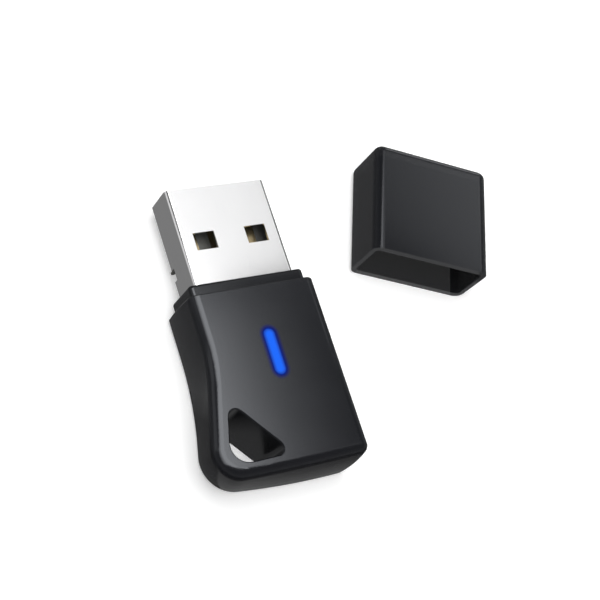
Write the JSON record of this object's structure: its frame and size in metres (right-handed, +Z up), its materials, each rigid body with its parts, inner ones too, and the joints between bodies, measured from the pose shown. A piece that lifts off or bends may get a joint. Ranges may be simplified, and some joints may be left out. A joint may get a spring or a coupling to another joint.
{
  "type": "usb bluetooth adapter",
  "caption": "Small radio adapter: a flared plastic body with a lit bar and a lanyard hole, a flat metal plug at its front, and its plug cap lying beside it.",
  "frame": {"origin": "on the plug's axis, in the front face of the collar that the plug comes out of", "axes": "+Y out of the plug along its axis, +Z up through the lit bar, +X to the right seen from the rear"},
  "size_m": [0.0448, 0.035, 0.0072],
  "materials": {
    "housing_plastic": "satin charcoal",
    "collar_plastic": "satin charcoal",
    "plug_steel": "bright nickel plate",
    "black_plastic": "moulded, matt",
    "light_blue": "lit blue, diffusing",
    "board_laminate": "solder mask over glass laminate",
    "chip_package": "moulded, matt",
    "can_metal": "satin lid",
    "chip_ceramic": "fired, plated ends",
    "capacitor_ceramic": "fired, plated ends",
    "copper_track": "etched copper",
    "solder": "bright solder",
    "contact_gold": "gilded",
    "cap_smoke": "smoky translucent"
  },
  "bodies": {
    "root": {"housing": "housing_plastic", "front_collar": "collar_plastic", "plug_shell": "plug_steel", "plug_insulator": "black_plastic", "light_pipe": "light_blue", "circuit_board": "board_laminate", "radio_chip": "chip_package", "flash_chip": "chip_package", "esd_array": "chip_package", "voltage_regulator": "chip_package", "crystal": "can_metal", "band_filter": "chip_ceramic", "ferrite_bead": "chip_ceramic", "capacitors": "capacitor_ceramic", "resistors": "chip_package", "status_led": "light_blue", "board_antenna": "copper_track", "solder_joints": "solder", "contact_vbus": "contact_gold", "contact_data_minus": "contact_gold", "contact_data_plus": "contact_gold", "contact_ground": "contact_gold", "cap": "cap_smoke"}
  },
  "joints": []
}
